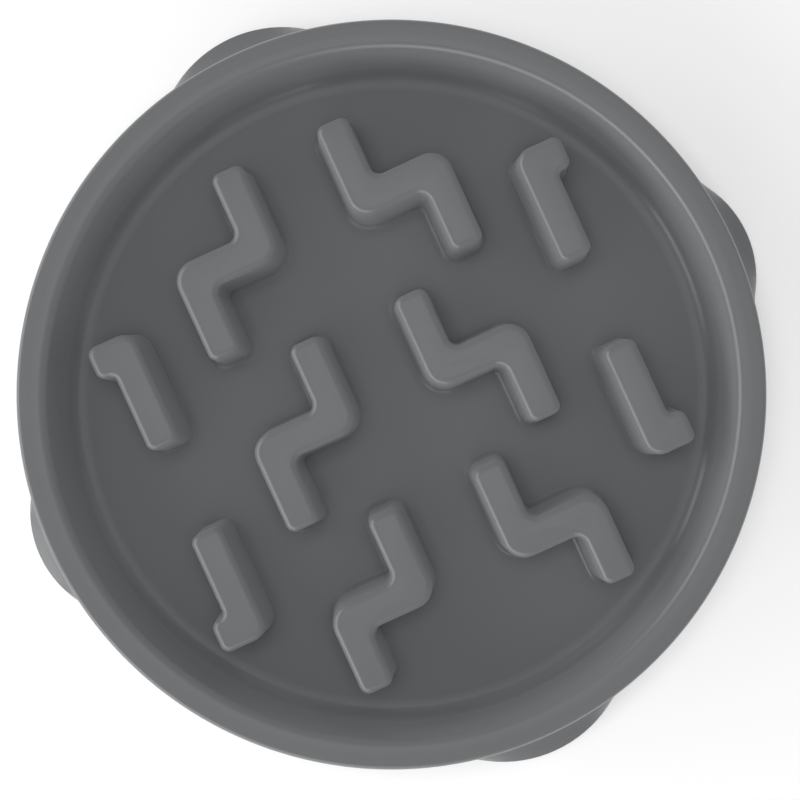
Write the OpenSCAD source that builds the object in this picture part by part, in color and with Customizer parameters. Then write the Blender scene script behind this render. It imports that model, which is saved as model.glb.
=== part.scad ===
// Slow feeder bowl: a low round dish whose floor carries ten hollow zig-zag ridges.
// A flared skirt carries the rim and spreads into four feet, each with a rubber grip pad.
// The rim, dish, ridges, skirt and feet are sections of one moulding and meet face to face.
// The origin is on the table under the middle of the bowl. X and Y run along the ridges.

/* [Bowl] */
// Outside diameter of the rim
rim_d = 194; // [188:1:230]
// Height of the rim's top above the table
bowl_h = 42; // [38:0.5:55]
// Depth of the dish, from the rim's top down to its floor
dish_depth = 30; // [20:0.5:32]
// Thickness of the moulded walls
wall_t = 2.2; // [1.6:0.1:2.6]

/* [Rim and dish] */
// Width of the rim's band, from its outer edge to the dish's side wall
rim_w = 7.7; // [6.5:0.1:8.5]
// Rounding of the rim's outer edge
rim_outer_r = 1.2; // [0.4:0.1:1.6]
// Rounding of the rim's inner edge
rim_inner_r = 1.5; // [0.4:0.1:1.6]
// Draft of the dish's side wall, in degrees
wall_draft = 1.5; // [0.5:0.25:3]
// Fillet between the dish's side wall and its floor
floor_fillet = 4; // [2:0.5:5]

/* [Skirt and feet] */
// How much the skirt's radius narrows between the feet, from the rim to the table
skirt_taper = 3; // [1:0.1:3.4]
// How far the front and back feet reach past the rim
flare_y = 10.9; // [6:0.1:16]
// How far the side feet reach past the rim
flare_x = 10.1; // [6:0.1:16]
// Corner radius of the front and back feet, seen from above
foot_r_y = 35; // [26:0.5:40]
// Corner radius of the side feet, seen from above
foot_r_x = 29.8; // [26:0.1:40]
// Height of the upright band along the skirt's lower edge
hem_h = 1.8; // [1:0.1:3]
// Height of the upright band under the rim
collar_h = 0.8; // [0.4:0.1:2]
// Width of the flat land inside each foot that holds the pad
land_w = 9; // [8:0.5:12]
// Thickness of that land
land_t = 3.6; // [3:0.1:5]
// Half the angle that a land covers, in degrees
land_angle = 44; // [40:1:50]

/* [Grip pads] */
// Width of a rubber pad
pad_w = 6; // [4:0.1:6.6]
// Thickness of a rubber pad
pad_t = 2.4; // [2:0.1:2.8]
// How far a pad stands below the skirt
pad_proud = 1.2; // [0.8:0.1:1.5]
// Half the angle that a pad covers, in degrees
pad_angle = 38; // [25:1:39]
// Side clearance of a pad in its seat
pad_gap = 0.15; // [0.05:0.05:0.3]

/* [Ridges] */
// Width of a ridge
ridge_w = 9.4; // [8:0.1:10.5]
// How far the ridges' tops lie below the rim's top
ridge_drop = 3; // [0:0.5:8]
// Thickness of a ridge's hollow wall
ridge_t = 2; // [1.6:0.1:2.3]
// Corner radius on the outside of a full ridge's bends
elbow_r = 6; // [4:0.1:7]
// Corner radius on the outside of a side ridge's bend
side_elbow_r = 4.6; // [3:0.1:6]
// Corner radius on the inside of a full ridge's bends
bend_r = 2.6; // [1:0.1:4]
// Corner radius on the inside of a side ridge's bend
side_bend_r = 1.4; // [0.5:0.1:1.5]
// Corner radius at a ridge's ends
tip_r = 2.6; // [2.4:0.1:2.8]

/* [Ridge pattern] */
// Place of the inner arms across X, as a share of the floor's radius like those below
near_share = 0.177; // [0.165:0.001:0.2]
// Place of the outer arms
far_share = 0.4085; // [0.4:0.0005:0.42]
// Place of the side ridges
side_share = 0.6965; // [0.67:0.0005:0.71]
// Distance between the three rows of ridges
row_share = 0.5785; // [0.56:0.0005:0.59]
// Reach of an arm past its row's line
arm_share = 0.2645; // [0.2:0.0005:0.27]
// Reach of the front row's lower arms
front_share = 0.234; // [0.18:0.001:0.25]
// Place of the side ridges' bends along Y
bend_share = 0.4615; // [0.43:0.0005:0.47]
// Place of the side ridges' inner ends along Y
end_share = 0.1415; // [0.1:0.0005:0.2]
// Length of a side ridge's stub, which points at the dish's side wall
stub_len = 4.2; // [3:0.1:5]

/* [Hidden] */

// Every cut runs past the face that it opens by this much
cut_over = 0.5;
// Smallest corner radius that the hollow of a ridge keeps
least_r = 0.3;
// Straight pieces in each quarter of a rounded profile
arc_steps = 8;
// Sides of a full circle
circle_sides = 96;

plastic = [0.43, 0.44, 0.445];
rubber = [0.22, 0.225, 0.23];

rim_r = rim_d / 2;
floor_z = bowl_h - dish_depth;
rim_under = bowl_h - wall_t;
skirt_z = pad_proud;
ridge_h = dish_depth - ridge_drop;

// The dish's side wall leans out by its draft and turns into the floor round a fillet
wall_top_r = rim_r - rim_w;
wall_foot_r = wall_top_r - (rim_under - floor_z) * tan(wall_draft);
fillet_r = wall_foot_r - floor_fillet * (1 - sin(wall_draft)) / cos(wall_draft);
fillet_z = floor_z + floor_fillet;

// The ridges spread over the flat floor, which ends at the fillet. The arms of the full
// ridges stand in a near and a far column, and their bars lie in three even rows.
half_w = ridge_w / 2;
near_column = near_share * fillet_r;
far_column = far_share * fillet_r;
side_column = side_share * fillet_r;
row_pitch = row_share * fillet_r;
arm_reach = arm_share * fillet_r;
front_reach = front_share * fillet_r;
side_row = bend_share * fillet_r;
side_end = end_share * fillet_r;
stub_tip = side_column + half_w + stub_len;

// Distance of each foot's corner circle from the middle
foot_at_x = rim_r + flare_x - foot_r_x;
foot_at_y = rim_r + flare_y - foot_r_y;

// Points on an arc in the profile's plane, from one angle to another
function arc(centre, r, from, to) = [
    for (i = [0 : arc_steps])
        let (a = from + (to - from) * i / arc_steps)
        centre + r * [cos(a), sin(a)]
];

// The rim is the flat band on top, rounded at both edges
module rim() {
    inner = arc([wall_top_r + rim_inner_r, bowl_h - rim_inner_r], rim_inner_r, 180, 90);
    outer = arc([rim_r - rim_outer_r, bowl_h - rim_outer_r], rim_outer_r, 90, 0);
    color(plastic)
        rotate_extrude($fn = circle_sides)
            polygon(concat([[wall_top_r, rim_under]], inner, outer, [[rim_r, rim_under]]));
}

// The dish's side wall runs from under the rim down to the floor, with its fillet
module basin_wall() {
    middle = [fillet_r, fillet_z];
    inside = arc(middle, floor_fillet, -90, -wall_draft);
    outside = arc(middle, floor_fillet + wall_t, -wall_draft, -90);
    top = [[wall_top_r, rim_under], [wall_top_r + wall_t / cos(wall_draft), rim_under]];
    color(plastic)
        rotate_extrude($fn = circle_sides)
            polygon(concat(inside, top, outside));
}

// The floor is a flat plate, open under each ridge's hollow
module basin_floor() {
    color(plastic)
        difference() {
            translate([0, 0, floor_z - wall_t])
                cylinder(h = wall_t, r = fillet_r, $fn = circle_sides);
            for (side = [0, 1])
                mirror([side, 0, 0]) {
                    for (row = [1, 0, -1])
                        hollow() zigzag_plan(row, ridge_t);
                    for (end = [0, 1])
                        mirror([0, end, 0])
                            hollow() hook_plan(ridge_t);
                }
        }
}

// The hollow of a ridge, from under the floor up to the ridge's top wall
module hollow() {
    translate([0, 0, floor_z - wall_t - cut_over])
        linear_extrude(ridge_h + wall_t - ridge_t + cut_over)
            children();
}

// The part of a square that lies outside its quarter circle: it rounds a corner
// when it is cut away, and fills a bend when it is added
module corner_piece(r) {
    difference() {
        translate([-cut_over, -cut_over])
            square(r + cut_over);
        translate([r, r])
            circle(r, $fn = circle_sides);
    }
}

module corner_at(x, y, quarter, r) {
    translate([x, y])
        rotate(quarter * 90)
            corner_piece(r);
}

// A bar between two corners
module bar(x0, y0, x1, y1) {
    translate([x0, y0])
        square([x1 - x0, y1 - y0]);
}

// Plan of a full ridge: an arm up, a bar across and an arm down, all inset evenly
module zigzag_plan(row, inset) {
    a = half_w - inset;
    y = row * row_pitch;
    top = y + arm_reach - inset;
    down = row < 0 ? front_reach : arm_reach;
    low = y - down + inset;
    bend = bend_r + inset;
    elbow = elbow_r - inset;
    tip = max(tip_r - inset, least_r);
    difference() {
        union() {
            bar(near_column - a, y - a, near_column + a, top);
            bar(near_column - a, y - a, far_column + a, y + a);
            bar(far_column - a, low, far_column + a, y + a);
            corner_at(near_column + a, y + a, 0, bend);
            corner_at(far_column - a, y - a, 2, bend);
        }
        corner_at(near_column - a, y - a, 0, elbow);
        corner_at(far_column + a, y + a, 2, elbow);
        corner_at(near_column - a, top, 3, tip);
        corner_at(near_column + a, top, 2, tip);
        corner_at(far_column - a, low, 0, tip);
        corner_at(far_column + a, low, 1, tip);
    }
}

// Plan of a side ridge: one arm that ends in a short stub towards the side wall
module hook_plan(inset) {
    a = half_w - inset;
    y = -side_row;
    top = -side_end - inset;
    end = stub_tip - inset;
    tip = max(tip_r - inset, least_r);
    bend = min(side_bend_r + inset, stub_len - tip);
    difference() {
        union() {
            bar(side_column - a, y - a, side_column + a, top);
            bar(side_column - a, y - a, end, y + a);
            corner_at(side_column + a, y + a, 0, bend);
        }
        corner_at(side_column - a, y - a, 0, side_elbow_r - inset);
        corner_at(end, y - a, 1, tip);
        corner_at(end, y + a, 2, tip);
        corner_at(side_column - a, top, 3, tip);
        corner_at(side_column + a, top, 2, tip);
    }
}

// A full ridge is a hollow block that stands on the floor and is open below
module zigzag_ridge(row) {
    color(plastic)
        difference() {
            translate([0, 0, floor_z])
                linear_extrude(ridge_h)
                    zigzag_plan(row, 0);
            hollow() zigzag_plan(row, ridge_t);
        }
}

module hook_ridge() {
    color(plastic)
        difference() {
            translate([0, 0, floor_z])
                linear_extrude(ridge_h)
                    hook_plan(0);
            hollow() hook_plan(ridge_t);
        }
}

module ridge_back_right() { zigzag_ridge(1); }
module ridge_middle_right() { zigzag_ridge(0); }
module ridge_front_right() { zigzag_ridge(-1); }
module ridge_back_left() { mirror([1, 0, 0]) ridge_back_right(); }
module ridge_middle_left() { mirror([1, 0, 0]) ridge_middle_right(); }
module ridge_front_left() { mirror([1, 0, 0]) ridge_front_right(); }
module side_ridge_front_right() { hook_ridge(); }
module side_ridge_back_right() { mirror([0, 1, 0]) hook_ridge(); }
module side_ridge_front_left() { mirror([1, 0, 0]) side_ridge_front_right(); }
module side_ridge_back_left() { mirror([1, 0, 0]) side_ridge_back_right(); }

// Outline of the skirt's lower edge, moved in by the inset: a circle between the feet,
// and a smaller circle at each foot
module foot_outline(inset) {
    circle(rim_r - skirt_taper - inset, $fn = circle_sides);
    for (side = [-1, 1]) {
        translate([side * foot_at_x, 0])
            circle(foot_r_x - inset, $fn = circle_sides);
        translate([0, side * foot_at_y])
            circle(foot_r_y - inset, $fn = circle_sides);
    }
}

// The solid inside the skirt's outer or inner face: round under the rim,
// spread into four feet at the table
module skirt_form(inset, over) {
    hull() {
        translate([0, 0, skirt_z - over])
            linear_extrude(hem_h + over)
                foot_outline(inset);
        translate([0, 0, rim_under - collar_h])
            cylinder(h = collar_h + over, r = rim_r - inset, $fn = circle_sides);
    }
}

module skirt() {
    color(plastic)
        difference() {
            skirt_form(0, 0);
            skirt_form(wall_t, cut_over);
        }
}

// Part of a ring around a foot's corner circle, centred on the foot's direction
module ring_part(inner, outer, half_angle, z0, z1) {
    translate([0, 0, z0])
        rotate(-half_angle)
            rotate_extrude(angle = 2 * half_angle, $fn = circle_sides)
                translate([inner, 0])
                    square([outer - inner, z1 - z0]);
}

// Each foot's land is a shelf inside the skirt's corner with a seat for the pad.
// It is drawn with its corner circle at the origin and the foot towards +X.
module land_ring(foot_r) {
    edge = foot_r - wall_t;
    mid = edge - land_w / 2;
    seat_in = mid - pad_w / 2 - pad_gap;
    seat_out = mid + pad_w / 2 + pad_gap;
    seat_angle = pad_angle + asin(pad_gap / seat_in);
    difference() {
        ring_part(edge - land_w, edge + cut_over, land_angle, skirt_z, skirt_z + land_t);
        ring_part(seat_in, seat_out, seat_angle, skirt_z - cut_over, pad_t);
    }
}

// A foot is that land, trimmed to the skirt's inner face
module foot_land(turn, at, foot_r) {
    color(plastic)
        intersection() {
            rotate(turn)
                translate([at, 0, 0])
                    land_ring(foot_r);
            skirt_form(wall_t, 0);
        }
}

// A grip pad is a curved rubber strip pressed into its seat
module grip_pad(turn, at, foot_r) {
    mid = foot_r - wall_t - land_w / 2;
    color(rubber)
        rotate(turn)
            translate([at, 0, 0])
                ring_part(mid - pad_w / 2, mid + pad_w / 2, pad_angle, 0, pad_t);
}

module foot_right() { foot_land(0, foot_at_x, foot_r_x); }
module foot_back() { foot_land(90, foot_at_y, foot_r_y); }
module foot_left() { foot_land(180, foot_at_x, foot_r_x); }
module foot_front() { foot_land(270, foot_at_y, foot_r_y); }
module grip_pad_right() { grip_pad(0, foot_at_x, foot_r_x); }
module grip_pad_back() { grip_pad(90, foot_at_y, foot_r_y); }
module grip_pad_left() { grip_pad(180, foot_at_x, foot_r_x); }
module grip_pad_front() { grip_pad(270, foot_at_y, foot_r_y); }

rim();
basin_wall();
basin_floor();
skirt();
ridge_back_left();
ridge_back_right();
ridge_middle_left();
ridge_middle_right();
ridge_front_left();
ridge_front_right();
side_ridge_back_left();
side_ridge_back_right();
side_ridge_front_left();
side_ridge_front_right();
foot_right();
foot_back();
foot_left();
foot_front();
grip_pad_right();
grip_pad_back();
grip_pad_left();
grip_pad_front();
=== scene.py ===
import math

import bmesh
import bpy
import numpy as np
from mathutils import Matrix, Vector


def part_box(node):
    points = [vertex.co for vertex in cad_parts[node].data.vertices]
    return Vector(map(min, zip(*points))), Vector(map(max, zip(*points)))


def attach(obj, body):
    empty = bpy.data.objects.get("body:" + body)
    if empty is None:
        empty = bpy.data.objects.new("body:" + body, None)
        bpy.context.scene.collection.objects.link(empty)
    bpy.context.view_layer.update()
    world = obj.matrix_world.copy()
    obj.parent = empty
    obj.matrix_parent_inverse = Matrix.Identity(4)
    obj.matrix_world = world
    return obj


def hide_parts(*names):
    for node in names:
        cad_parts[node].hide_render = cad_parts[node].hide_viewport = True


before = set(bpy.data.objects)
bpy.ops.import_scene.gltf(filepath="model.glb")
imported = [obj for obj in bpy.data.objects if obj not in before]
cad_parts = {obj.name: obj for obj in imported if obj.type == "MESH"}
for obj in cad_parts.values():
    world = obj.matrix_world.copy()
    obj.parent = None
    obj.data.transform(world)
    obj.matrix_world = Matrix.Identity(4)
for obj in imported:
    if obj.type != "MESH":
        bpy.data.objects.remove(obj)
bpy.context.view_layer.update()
bpy.ops.object.select_all(action="DESELECT")


# The dish and its skirt
# One moulding of grey polypropylene: a flat rim, a side wall with a little draft, a flat
# floor, and a skirt that falls from the rim's edge and spreads into four feet. All walls
# are as thick as the floor, and the underside is open.
mm = 0.001
rim_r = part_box("rim")[1].x
bowl_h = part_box("rim")[1].z
floor_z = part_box("basin_floor")[1].z
wall_t = floor_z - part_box("basin_floor")[0].z
skirt_low, skirt_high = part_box("skirt")
skirt_z = skirt_low.z
rim_under = bowl_h - wall_t

rim_w = 7.7 * mm
wall_draft = math.radians(1.5)
floor_fillet = 4 * mm
rim_inner_round = 2.2 * mm
rim_outer_round = 1.2 * mm
under_rim_round = 1.2 * mm
hem_round = 0.6 * mm
flat_edge = 1.5 * mm            # a flat ring that keeps the fillet's shading off the floor
collar_h = 0.8 * mm             # the skirt is round for this far below the rim
collar_z = rim_under - collar_h
hem_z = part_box("foot_right")[1].z   # the skirt is upright beside the feet's shelves
skirt_taper = 3 * mm            # the skirt narrows by this between the feet
foot_r_x = 29.8 * mm
foot_r_y = 35 * mm
sweep = 7                       # above 1, the skirt starts upright and spreads lower down
skirt_steps = 36
round_steps = 6
dish_sides = 288
touch = 0.01 * mm               # points nearer than this share a place

wall_top_r = rim_r - rim_w
wall_foot_r = wall_top_r - (bowl_h - floor_z) * math.tan(wall_draft)
flat_r = wall_foot_r - floor_fillet - flat_edge
normals = np.radians(np.arange(0, 360, 0.5))
foot_supports = np.maximum.reduce([
    np.full(normals.shape, rim_r - skirt_taper),
    (skirt_high.x - foot_r_x) * np.abs(np.cos(normals)) + foot_r_x,
    (skirt_high.y - foot_r_y) * np.abs(np.sin(normals)) + foot_r_y,
])


def skirt_reach(bearing, spread, inset):
    """How far the skirt's face lies from the middle. Spread is 0 at the round rim and 1
    at the feet, where the outline is the tightest line round the foot circles."""
    supports = (1 - spread) * rim_r + spread * foot_supports - inset
    facing = np.cos(normals - bearing)
    front = facing > 0.5
    return float((supports[front] / facing[front]).min())


def extrude_ring(height, radius=None, spread=None, inset=0):
    """Extrudes the selected edge loop to a new height, and to a circle or the skirt's outline."""
    bpy.ops.mesh.extrude_edges_move()
    shape = bmesh.from_edit_mesh(bpy.context.object.data)
    for corner in shape.verts:
        if corner.select:
            bearing = math.atan2(corner.co.y, corner.co.x)
            reach = skirt_reach(bearing, spread, inset) if radius is None else radius
            corner.co = (reach * math.cos(bearing), reach * math.sin(bearing), height)
    bmesh.update_edit_mesh(bpy.context.object.data)


def extrude_skirt(steps, inset=0):
    """Extrudes the edge loop along one face of the skirt, ring by ring."""
    for step in steps:
        down = step / skirt_steps
        extrude_ring(collar_z + (hem_z - collar_z) * down, spread=down ** sweep, inset=inset)


def pick(kind, test):
    """Selects the verts, edges or faces of the piece in edit mode that pass a test."""
    bpy.ops.mesh.select_mode(type={"verts": "VERT", "edges": "EDGE", "faces": "FACE"}[kind])
    bpy.ops.mesh.select_all(action="DESELECT")
    shape = bmesh.from_edit_mesh(bpy.context.object.data)
    for part in getattr(shape, kind):
        if test(part):
            part.select_set(True)
    bmesh.update_edit_mesh(bpy.context.object.data)


def round_edges(radius, steps=round_steps):
    """Rounds the selected edges."""
    bpy.ops.mesh.bevel(offset=radius, segments=steps, affect="EDGES")


def round_circle(radius, height, rounding, steps=round_steps):
    """Rounds the edges that run round a circle at a height."""
    pick("edges", lambda edge: all(
        abs(end.co.z - height) < touch and abs(end.co.xy.length - radius) < 5 * touch
        for end in edge.verts))
    round_edges(rounding, steps)


def runs_round_hem(edge):
    """True for the edges along the skirt's lower edge, and not for those across it."""
    a, b = (end.co for end in edge.verts)
    on_hem = abs(a.z - skirt_z) < touch and abs(b.z - skirt_z) < touch
    return on_hem and abs(a.xy.length - b.xy.length) < wall_t / 2


bpy.ops.mesh.primitive_circle_add(
    vertices=dish_sides, radius=flat_r, fill_type="NGON", location=(0, 0, floor_z))
dish = bpy.context.object
bpy.ops.object.transform_apply()
bpy.ops.object.mode_set(mode="EDIT")
bpy.ops.mesh.select_mode(type="EDGE")
bpy.ops.mesh.select_all(action="SELECT")
extrude_ring(floor_z, wall_foot_r)
extrude_ring(bowl_h, wall_top_r)
extrude_ring(bowl_h, rim_r)
extrude_skirt(range(skirt_steps + 1))
extrude_ring(skirt_z, spread=1)
extrude_ring(skirt_z, spread=1, inset=wall_t)
extrude_skirt(range(skirt_steps, -1, -1), inset=wall_t)
extrude_ring(rim_under, rim_r - wall_t)
extrude_ring(rim_under, wall_top_r + wall_t)
extrude_ring(floor_z - wall_t, wall_foot_r + wall_t)
extrude_ring(floor_z - wall_t, flat_r)
bpy.ops.mesh.edge_face_add()
bpy.ops.mesh.select_all(action="SELECT")
bpy.ops.mesh.normals_make_consistent(inside=False)

round_circle(wall_foot_r, floor_z, floor_fillet, steps=8)
round_circle(wall_foot_r + wall_t, floor_z - wall_t, floor_fillet + wall_t, steps=8)
round_circle(wall_top_r, bowl_h, rim_inner_round)
round_circle(rim_r, bowl_h, rim_outer_round)
round_circle(rim_r - wall_t, rim_under, under_rim_round, steps=4)
round_circle(wall_top_r + wall_t, rim_under, under_rim_round, steps=4)
pick("edges", runs_round_hem)
round_edges(hem_round, steps=3)
bpy.ops.object.mode_set(mode="OBJECT")


class Value:
    """A socket of a material, so that a sum on it reads as plain Python."""

    def __init__(self, finish, socket):
        self.finish = finish
        self.socket = socket

    def maths(self, operation, first, second):
        return self.finish.node("ShaderNodeMath", {"operation": operation}, first, second)

    def __add__(self, other):
        return self.maths("ADD", self, other)

    def __sub__(self, other):
        return self.maths("SUBTRACT", self, other)

    def __rsub__(self, other):
        return self.maths("SUBTRACT", other, self)

    def __mul__(self, other):
        return self.maths("MULTIPLY", self, other)

    __radd__ = __add__
    __rmul__ = __mul__


class Finish:
    """A material for one of the record's slots, and the nodes that feed its shader."""

    def __init__(self, slot):
        self.slot = slot
        self.material = bpy.data.materials.new(slot + "_finish")
        self.material.use_nodes = True
        self.tree = self.material.node_tree
        self.shader = self.tree.nodes["Principled BSDF"]

    def set_sockets(self, node, by_place, by_name):
        """Gives sockets their values or links. An underscore in a name stands for a space."""
        sockets = dict(zip(node.inputs, by_place))
        for name, value in by_name.items():
            label = name.replace("_", " ")
            sockets[next(s for s in node.inputs if s.enabled and s.name == label)] = value
        for socket, value in sockets.items():
            if isinstance(value, Value):
                self.tree.links.new(value.socket, socket)
            else:
                socket.default_value = value

    def node(self, kind, settings=None, *by_place, output=None, **by_name):
        """Adds a node and returns its named output, or else its first."""
        node = self.tree.nodes.new(kind)
        for name, value in (settings or {}).items():
            setattr(node, name, value)
        self.set_sockets(node, by_place, by_name)
        found = [s for s in node.outputs if s.enabled and output in (None, s.name)]
        return Value(self, found[0])

    def shade(self, **by_name):
        """Sets the shader's own sockets."""
        self.set_sockets(self.shader, (), by_name)


# Satin grey plastic: faint clouds from the flow of the melt, and a fine spark-eroded grain
# that breaks up the gloss
smooth_below = math.radians(35)     # edges that turn by less than this are shaded smooth
plastic = Finish("bowl_plastic")
place = plastic.node("ShaderNodeTexCoord", output="Object")
clouds = plastic.node("ShaderNodeTexNoise", Vector=place, Scale=28, Detail=2, Roughness=0.5)
grain = plastic.node("ShaderNodeTexNoise", Vector=place, Scale=2600, Detail=2, Roughness=0.6)
plastic.shade(
    Base_Color=plastic.node(
        "ShaderNodeMix", {"data_type": "RGBA"}, Factor=clouds,
        A=(0.155, 0.160, 0.165, 1), B=(0.165, 0.170, 0.175, 1)),
    Roughness=0.27 + 0.06 * clouds + 0.05 * grain,
    Normal=plastic.node("ShaderNodeBump", Height=grain, Strength=0.05, Distance=0.1 * mm),
    IOR=1.49, Specular_IOR_Level=1.0, Diffuse_Roughness=1.0,
    Sheen_Weight=0.1, Sheen_Roughness=0.6,
)


def finish_piece(piece, name, finish, *nodes):
    """Smooths a piece's shading, names it, and lets it stand for its CAD nodes."""
    bpy.ops.object.select_all(action="DESELECT")
    piece.select_set(True)
    bpy.context.view_layer.objects.active = piece
    bpy.ops.object.shade_smooth_by_angle(angle=smooth_below)
    piece.name = piece.data.name = name
    piece.data.materials.clear()
    piece.data.materials.append(finish.material)
    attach(piece, "root")
    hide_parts(*nodes)
    bpy.ops.object.select_all(action="DESELECT")


# The ten ridges
# Zig-zag walls that rise from the floor and make the dog eat round them. They are part of
# the moulding: hollow and open below, with drafted sides, rounded top edges and a fillet
# at the floor. Six run in three rows, and four shorter ones stand along the sides.
ridge_w = 9.4 * mm
ridge_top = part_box("ridge_middle_right")[1].z
ridge_t = 2 * mm
ridge_draft = 0.8 * mm          # each side leans in by this from the floor to the top
ridge_spread = 0.5 * mm         # and stands this far out at the floor
top_round = 1.7 * mm
hollow_round = 0.3 * mm
hollow_draft = 0.2 * mm
tip_r = 2.6 * mm
elbow_r = 6 * mm                # outside of a full ridge's two turns
bend_r = 2.6 * mm               # and inside of them
ridge_fillet = 1.6 * mm
side_elbow_r = 4.6 * mm
side_bend_r = 1.5 * mm
side_fillet = 0.8 * mm
seat_lift = 0.01 * mm           # keeps the fillet's edge just above the floor
corner_steps = 8
arm_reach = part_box("ridge_middle_right")[1].y
row_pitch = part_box("ridge_back_right")[1].y - arm_reach


def start_plate(x, y, size):
    """A square plate at the floor, in edit mode."""
    bpy.ops.mesh.primitive_plane_add(size=size, location=(x, y, floor_z + seat_lift))
    bpy.ops.object.transform_apply()
    bpy.ops.object.mode_set(mode="EDIT")


def draw_out(x, y, along_x, along_y):
    """Extrudes the plate's edge whose middle is at a place."""
    middle = Vector((x, y))
    pick("edges", lambda edge: (
        sum((end.co.xy for end in edge.verts), Vector((0, 0))) / 2 - middle).length < 10 * touch)
    bpy.ops.mesh.extrude_edges_move(TRANSFORM_OT_translate={"value": (along_x, along_y, 0)})


def merge_plate():
    """Makes one face of the plate, with no point but its corners."""
    bpy.ops.mesh.select_all(action="SELECT")
    bpy.ops.mesh.dissolve_limited(angle_limit=math.radians(1))


def round_corners(radius, *places):
    """Rounds the plate's corners that lie at these places."""
    pick("verts", lambda corner: any(
        (corner.co.xy - Vector(place)).length < 10 * touch for place in places))
    bpy.ops.mesh.bevel(offset=radius, segments=corner_steps, affect="VERTICES")


def zigzag_plate(node, grow, elbow, bend):
    """Plan of a full ridge, grown evenly: an arm up, a bar across and an arm down."""
    low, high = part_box(node)
    x0, x3, y0, y3 = low.x - grow, high.x + grow, low.y - grow, high.y + grow
    width = ridge_w + 2 * grow
    bar_y = high.y - arm_reach
    x1, x2, y1, y2 = x0 + width, x3 - width, bar_y - width / 2, bar_y + width / 2
    start_plate((x0 + x1) / 2, bar_y, width)
    draw_out((x0 + x1) / 2, y2, 0, y3 - y2)
    draw_out(x1, bar_y, x2 - x1, 0)
    draw_out(x2, bar_y, x3 - x2, 0)
    draw_out((x2 + x3) / 2, y1, 0, y0 - y1)
    merge_plate()
    round_corners(tip_r + grow, (x0, y3), (x1, y3), (x2, y0), (x3, y0))
    round_corners(elbow + grow, (x0, y1), (x3, y2))
    round_corners(bend - grow, (x1, y2), (x2, y1))


def hook_plate(node, grow, elbow, bend):
    """Plan of a side ridge, grown evenly: one arm that ends in a short stub."""
    low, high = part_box(node)
    x0, x2, y0, y2 = low.x - grow, high.x + grow, low.y - grow, high.y + grow
    width = ridge_w + 2 * grow
    x1, y1 = x0 + width, y0 + width
    start_plate((x0 + x1) / 2, (y0 + y1) / 2, width)
    draw_out((x0 + x1) / 2, y1, 0, y2 - y1)
    draw_out(x1, (y0 + y1) / 2, x2 - x1, 0)
    merge_plate()
    round_corners(tip_r + grow, (x0, y2), (x1, y2), (x2, y0), (x2, y1))
    round_corners(elbow + grow, (x0, y0))
    round_corners(bend - grow, (x1, y1))


def rises(edge):
    """True for the edges that run up a ridge's side."""
    return abs(edge.verts[0].co.z - edge.verts[1].co.z) > mm


def at_wall_foot(edge):
    """True for the edges on the floor from which a ridge's sides rise."""
    return not rises(edge) and all(
        end.co.z < floor_z + mm and any(rises(other) for other in end.link_edges)
        for end in edge.verts)


def faces_down(face):
    """True for the level faces of the underside."""
    return face.normal.z < -0.99


def raise_ridge(plate, node, fillet, elbow, bend):
    """Models a ridge on its plan: drafted sides, a rounded top, a fillet and a hollow."""
    plate(node, ridge_spread + fillet, elbow, bend)
    bpy.ops.mesh.select_all(action="SELECT")
    bpy.ops.mesh.inset(thickness=fillet + seat_lift, depth=0)
    bpy.ops.mesh.inset(thickness=ridge_draft, depth=ridge_top - floor_z - seat_lift)
    bpy.ops.mesh.region_to_loop()
    round_edges(top_round)
    pick("edges", at_wall_foot)
    round_edges(fillet)

    # The underside is a flat seat on the floor, and the hollow is pushed up from it
    pick("edges", lambda edge: edge.is_boundary)
    bpy.ops.mesh.extrude_edges_move(TRANSFORM_OT_translate={"value": (0, 0, -seat_lift)})
    bpy.ops.mesh.edge_face_add()
    bpy.ops.mesh.select_all(action="SELECT")
    bpy.ops.mesh.normals_make_consistent(inside=False)
    pick("faces", faces_down)
    bpy.ops.mesh.inset(thickness=ridge_spread + fillet + ridge_t, depth=0)
    bpy.ops.mesh.inset(thickness=hollow_draft, depth=floor_z + ridge_t - ridge_top)
    bpy.ops.mesh.region_to_loop()
    round_edges(hollow_round, steps=2)
    bpy.ops.object.mode_set(mode="OBJECT")
    return bpy.context.object


def block_hollow(plate, node, fillet, elbow, bend):
    """A block that fills a ridge's hollow where it passes through the floor."""
    plate(node, ridge_spread + fillet, elbow, bend)
    pick("faces", lambda face: True)
    bpy.ops.mesh.inset(thickness=ridge_spread + fillet + ridge_t, depth=0)
    bpy.ops.mesh.select_all(action="INVERT")
    bpy.ops.mesh.delete(type="FACE")
    bpy.ops.mesh.select_all(action="SELECT")
    bpy.ops.transform.translate(value=(0, 0, wall_t / 2))
    bpy.ops.mesh.extrude_region_move(TRANSFORM_OT_translate={"value": (0, 0, -2 * wall_t)})
    bpy.ops.mesh.select_all(action="SELECT")
    bpy.ops.mesh.normals_make_consistent(inside=False)
    bpy.ops.object.mode_set(mode="OBJECT")
    return bpy.context.object


def twin(piece, along_x, along_y, shift):
    """A copy with its own mesh, mirrored where a factor is -1 and moved along Y."""
    copy = piece.copy()
    copy.data = piece.data.copy()
    bpy.context.collection.objects.link(copy)
    copy.data.transform(
        Matrix.Translation((0, shift, 0)) @ Matrix.Diagonal((along_x, along_y, 1, 1)))
    if along_x * along_y < 0:
        copy.data.flip_normals()
    return copy


def bore_floor(block):
    """Cuts a block out of the dish and removes the block."""
    bore = dish.modifiers.new("hollow", "BOOLEAN")
    bore.object = block
    bore.solver = "EXACT"
    bpy.context.view_layer.objects.active = dish
    bpy.ops.object.modifier_apply(modifier=bore.name)
    bpy.data.objects.remove(block)


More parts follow.
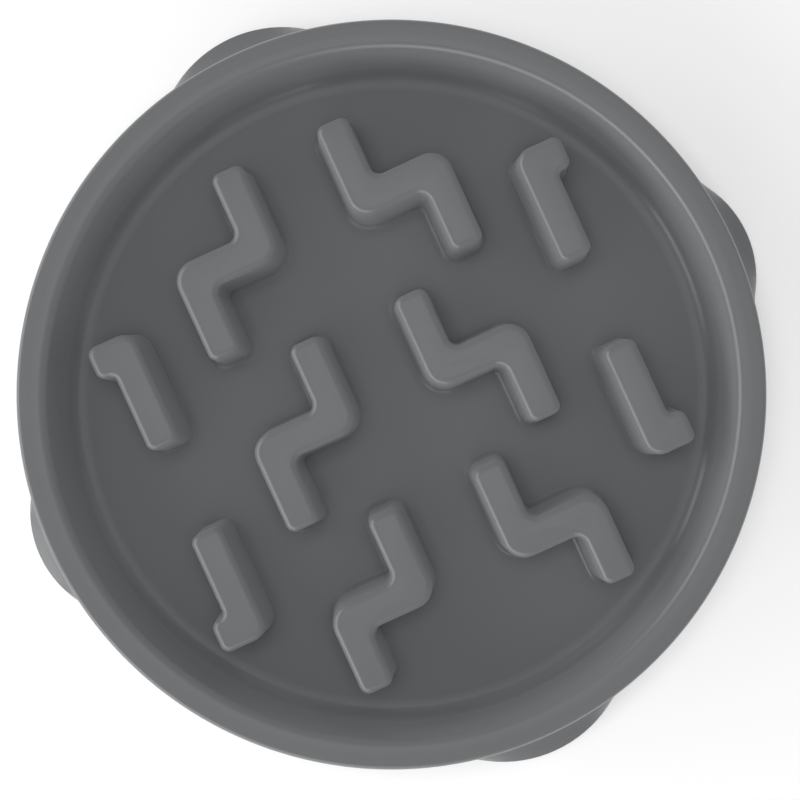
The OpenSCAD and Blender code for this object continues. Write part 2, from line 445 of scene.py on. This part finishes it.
forms = {
    "full": (zigzag_plate, "ridge_middle_right", ridge_fillet, elbow_r, bend_r),
    "short": (zigzag_plate, "ridge_front_right", ridge_fillet, elbow_r, bend_r),
    "hook": (hook_plate, "side_ridge_front_right", side_fillet, side_elbow_r, side_bend_r),
}
places = {
    "ridge_back_left": ("full", -1, 1, row_pitch),
    "ridge_back_right": ("full", 1, 1, row_pitch),
    "ridge_middle_left": ("full", -1, 1, 0),
    "ridge_middle_right": ("full", 1, 1, 0),
    "ridge_front_left": ("short", -1, 1, 0),
    "ridge_front_right": ("short", 1, 1, 0),
    "side_ridge_back_left": ("hook", -1, -1, 0),
    "side_ridge_back_right": ("hook", 1, -1, 0),
    "side_ridge_front_left": ("hook", -1, 1, 0),
    "side_ridge_front_right": ("hook", 1, 1, 0),
}
for form, plan in forms.items():
    ridge = raise_ridge(*plan)
    block = block_hollow(*plan)
    for node, (kind, *where) in places.items():
        if kind == form:
            finish_piece(twin(ridge, *where), "moulded_" + node, plastic, node)
            bore_floor(twin(block, *where))
    bpy.data.objects.remove(ridge)
    bpy.data.objects.remove(block)
finish_piece(dish, "moulded_dish", plastic, "rim", "basin_wall", "basin_floor", "skirt")


# The feet
# Inside each corner of the skirt a moulded shelf holds a strip of rubber. The shelves keep
# their shape and get the moulding's finish.
for node in ("foot_right", "foot_back", "foot_left", "foot_front"):
    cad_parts[node].data.materials.clear()
    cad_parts[node].data.materials.append(plastic.material)


# The grip pads
# Curved strips of dark rubber pressed into the shelves' seats. They stand a little below
# the skirt, so that the bowl grips the floor, and have a row of pockets along the tread.
land_w = 9 * mm
pad_half_angle = math.radians(38)
pad_steps = 19
pad_round = 0.4 * mm
pocket_wall = 0.35 * mm
pocket_depth = 0.5 * mm

rubber = Finish("pad_rubber")
place = rubber.node("ShaderNodeTexCoord", output="Object")
clouds = rubber.node("ShaderNodeTexNoise", Vector=place, Scale=60, Detail=3, Roughness=0.5)
grain = rubber.node("ShaderNodeTexNoise", Vector=place, Scale=1400, Detail=2, Roughness=0.6)
rubber.shade(
    Base_Color=rubber.node(
        "ShaderNodeMix", {"data_type": "RGBA"}, Factor=clouds,
        A=(0.036, 0.038, 0.039, 1), B=(0.046, 0.048, 0.049, 1)),
    Roughness=0.68 + 0.15 * clouds,
    Normal=rubber.node("ShaderNodeBump", Height=grain, Strength=0.15, Distance=0.1 * mm),
)


def mould_pad(node, foot_at, foot_r, turn):
    """Spins a strip's section about its foot's centre, rounds it and sinks the pockets."""
    low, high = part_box(node)
    mid_r = foot_r - wall_t - land_w / 2
    pad_w = land_w * 2 / 3      # the seat takes the middle of the shelf
    start = pad_half_angle      # the strip is spun clockwise from here
    bpy.ops.mesh.primitive_plane_add(
        size=1, rotation=(math.pi / 2, 0, start),
        location=(foot_at + mid_r * math.cos(start), mid_r * math.sin(start), high.z / 2))
    pad = bpy.context.object
    pad.scale = (pad_w, high.z, 1)
    bpy.ops.object.transform_apply()
    bpy.ops.object.mode_set(mode="EDIT")
    bpy.ops.mesh.select_all(action="SELECT")
    bpy.ops.mesh.spin(
        steps=pad_steps, angle=2 * pad_half_angle, center=(foot_at, 0, 0), axis=(0, 0, 1))
    bpy.ops.mesh.select_all(action="SELECT")
    bpy.ops.mesh.remove_doubles(threshold=0.001 * mm)
    bpy.ops.mesh.normals_make_consistent(inside=False)
    bpy.ops.object.mode_set(mode="OBJECT")
    bevel = pad.modifiers.new("round", "BEVEL")
    bevel.width = pad_round
    bevel.segments = 3
    bevel.angle_limit = math.radians(60)
    bpy.ops.object.modifier_apply(modifier=bevel.name)
    bpy.ops.object.mode_set(mode="EDIT")
    pick("faces", faces_down)
    bpy.ops.mesh.inset(thickness=pocket_wall, depth=-pocket_depth, use_individual=True)
    bpy.ops.object.mode_set(mode="OBJECT")
    pad.data.transform(Matrix.Rotation(math.radians(turn), 4, "Z"))
    finish_piece(pad, "rubber_" + node, rubber, node)


mould_pad("grip_pad_right", skirt_high.x - foot_r_x, foot_r_x, 0)
mould_pad("grip_pad_back", skirt_high.y - foot_r_y, foot_r_y, 90)
mould_pad("grip_pad_left", skirt_high.x - foot_r_x, foot_r_x, 180)
mould_pad("grip_pad_front", skirt_high.y - foot_r_y, foot_r_y, 270)


# The studio
# A white table, soft light from all round, a small soft box overhead that casts no
# reflection, and two wide low ones at the left and the front, which draw the bright
# lines along the edges that face them.
table_w = 8
bpy.ops.mesh.primitive_plane_add(size=table_w, location=(0, 0, 0))
table = bpy.context.object
table.name = "table"
white = Finish("table")
path = white.tree.nodes.new("ShaderNodeLightPath")
seen = sum(Value(white, path.outputs[kind])
           for kind in ("Is Camera Ray", "Is Glossy Ray", "Is Transmission Ray"))
white.shade(
    Base_Color=(0.84, 0.84, 0.84, 1), Roughness=1.0, Specular_IOR_Level=0.0,
    Emission_Color=(1, 1, 1, 1), Emission_Strength=0.18 * seen)
table.data.materials.append(white.material)

world = bpy.data.worlds.new("studio")
bpy.context.scene.world = world
world.use_nodes = True
world.node_tree.nodes["Background"].inputs["Color"].default_value = (1, 1, 1, 1)
world.node_tree.nodes["Background"].inputs["Strength"].default_value = 0.27


def soft_box(name, bearing, elevation, distance, width, height, power, gloss):
    """An area light that faces the bowl, with or without a reflection in it."""
    light = bpy.data.lights.new(name, "AREA")
    light.shape = "RECTANGLE"
    light.size = width
    light.size_y = height
    light.energy = power
    lamp = bpy.data.objects.new(name, light)
    lamp.visible_glossy = gloss
    bpy.context.collection.objects.link(lamp)
    turn, rise = math.radians(bearing), math.radians(elevation)
    lamp.location = distance * Vector(
        (math.cos(rise) * math.cos(turn), math.cos(rise) * math.sin(turn), math.sin(rise)))
    lamp.rotation_euler = lamp.location.to_track_quat("Z", "Y").to_euler()


soft_box("soft_box_above", bearing=100, elevation=88, distance=1.3,
         width=0.5, height=0.5, power=8.5, gloss=False)
soft_box("soft_box_left", bearing=158, elevation=26, distance=1.05,
         width=1.6, height=0.75, power=6.0, gloss=True)
soft_box("soft_box_front", bearing=222, elevation=26, distance=1.05,
         width=1.2, height=0.75, power=4.3, gloss=True)

# The camera looks straight down from just over half a metre, as in the photograph
camera_at = Vector((7.0, -2.1, 587)) * mm
looks_at = Vector((1.6, -2.2, 42)) * mm
turn = math.radians(24.55)      # the picture's upright lies this far from the bowl's Y
sensor_w = 36
focal_px = 2112
picture_px = 800
camera = bpy.data.objects.new("camera", bpy.data.cameras.new("camera"))
bpy.context.collection.objects.link(camera)
camera.data.sensor_width = sensor_w
camera.data.lens = sensor_w * focal_px / picture_px
ahead = (looks_at - camera_at).normalized()
right = ahead.cross(Vector((math.sin(turn), math.cos(turn), 0))).normalized()
up = right.cross(ahead)
camera.matrix_world = (
    Matrix.Translation(camera_at) @ Matrix((right, up, -ahead)).transposed().to_4x4())
bpy.context.scene.camera = camera
bpy.context.scene.view_settings.view_transform = "Standard"
